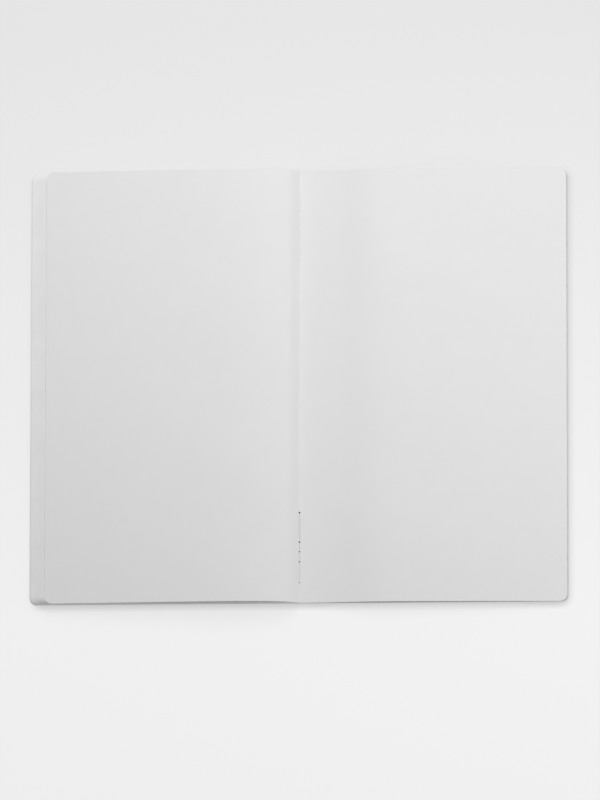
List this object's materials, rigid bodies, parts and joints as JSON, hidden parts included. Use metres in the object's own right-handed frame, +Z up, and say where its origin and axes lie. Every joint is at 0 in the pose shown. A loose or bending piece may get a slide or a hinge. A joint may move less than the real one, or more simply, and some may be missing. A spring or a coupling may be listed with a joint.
{
  "type": "notebook",
  "caption": "Blank section-sewn softcover notebook lying open near its end; front half closes over the back, and the top right page turns.",
  "frame": {"origin": "on the table plane, under the middle of the spine, half way from tail to head", "axes": "+X from the gutter to the right page's fore-edge, +Y from tail to head, +Z up from the table"},
  "size_m": [0.26, 0.21, 0.0117],
  "materials": {
    "page_paper": "matte",
    "cover_card": "matte",
    "lining_cloth": "matte",
    "sewing_thread": "matte"
  },
  "bodies": {
    "back_half": {"back_cover": "cover_card", "back_endpaper": "page_paper", "spine": "cover_card", "spine_lining": "lining_cloth", "section_7": "page_paper", "section_6_right_leaf_1": "page_paper", "section_6_right_leaf_2": "page_paper", "section_6_right_leaf_3": "page_paper", "section_6_right_leaf_4": "page_paper", "section_6_right_leaf_5": "page_paper", "tail_stitch_1": "sewing_thread", "tail_stitch_2": "sewing_thread", "tail_stitch_3": "sewing_thread", "head_stitch_1": "sewing_thread", "head_stitch_2": "sewing_thread", "head_stitch_3": "sewing_thread"},
    "front_half": {"front_cover": "cover_card", "front_endpaper": "page_paper", "section_1": "page_paper"},
    "second_section": {"section_2": "page_paper"},
    "third_section": {"section_3": "page_paper"},
    "fourth_section": {"section_4": "page_paper"},
    "fifth_section": {"section_5": "page_paper"},
    "open_left_leaves": {"section_6_left_leaf_1": "page_paper", "section_6_left_leaf_2": "page_paper", "section_6_left_leaf_3": "page_paper", "section_6_left_leaf_4": "page_paper", "section_6_left_leaf_5": "page_paper", "section_6_left_leaf_6": "page_paper"},
    "right_page": {"section_6_right_leaf_6": "page_paper"}
  },
  "joints": [
    {"name": "cover_hinge", "type": "hinge", "parent": "back_half", "child": "front_half", "pos_m": [0, 0, 0.0041], "axis": [0, 1, 0], "range_deg": [0, 179.9], "deforming": ["spine", "spine_lining", "section_6_left_leaf_1", "section_6_left_leaf_2", "section_6_left_leaf_3", "section_6_left_leaf_4", "section_6_left_leaf_5", "section_6_left_leaf_6", "section_6_right_leaf_1", "section_6_right_leaf_2", "section_6_right_leaf_3", "section_6_right_leaf_4", "section_6_right_leaf_5", "section_6_right_leaf_6"]},
    {"name": "second_section_slip", "type": "slide", "parent": "front_half", "child": "second_section", "axis": [-1, 0, 0], "range_m": [0, 0.00144]},
    {"name": "third_section_slip", "type": "slide", "parent": "front_half", "child": "third_section", "axis": [-1, 0, 0], "range_m": [0, 0.00288]},
    {"name": "fourth_section_slip", "type": "slide", "parent": "front_half", "child": "fourth_section", "axis": [-1, 0, 0], "range_m": [0, 0.00432]},
    {"name": "fifth_section_slip", "type": "slide", "parent": "front_half", "child": "fifth_section", "axis": [-1, 0, 0], "range_m": [0, 0.00576]},
    {"name": "open_leaves_slip", "type": "slide", "parent": "front_half", "child": "open_left_leaves", "axis": [-1, 0, 0], "range_m": [0, 0.0072]},
    {"name": "page_turn", "type": "hinge", "parent": "back_half", "child": "right_page", "pos_m": [0.0013, 0, 0.005], "axis": [0, 1, 0], "range_deg": [-160, 0]}
  ],
  "couplings": [
    {"joint": "second_section_slip", "follows": "cover_hinge", "m_per_rad": 0.00045837},
    {"joint": "third_section_slip", "follows": "cover_hinge", "m_per_rad": 0.00091673},
    {"joint": "fourth_section_slip", "follows": "cover_hinge", "m_per_rad": 0.0013751},
    {"joint": "fifth_section_slip", "follows": "cover_hinge", "m_per_rad": 0.0018335},
    {"joint": "open_leaves_slip", "follows": "cover_hinge", "m_per_rad": 0.0022918}
  ]
}
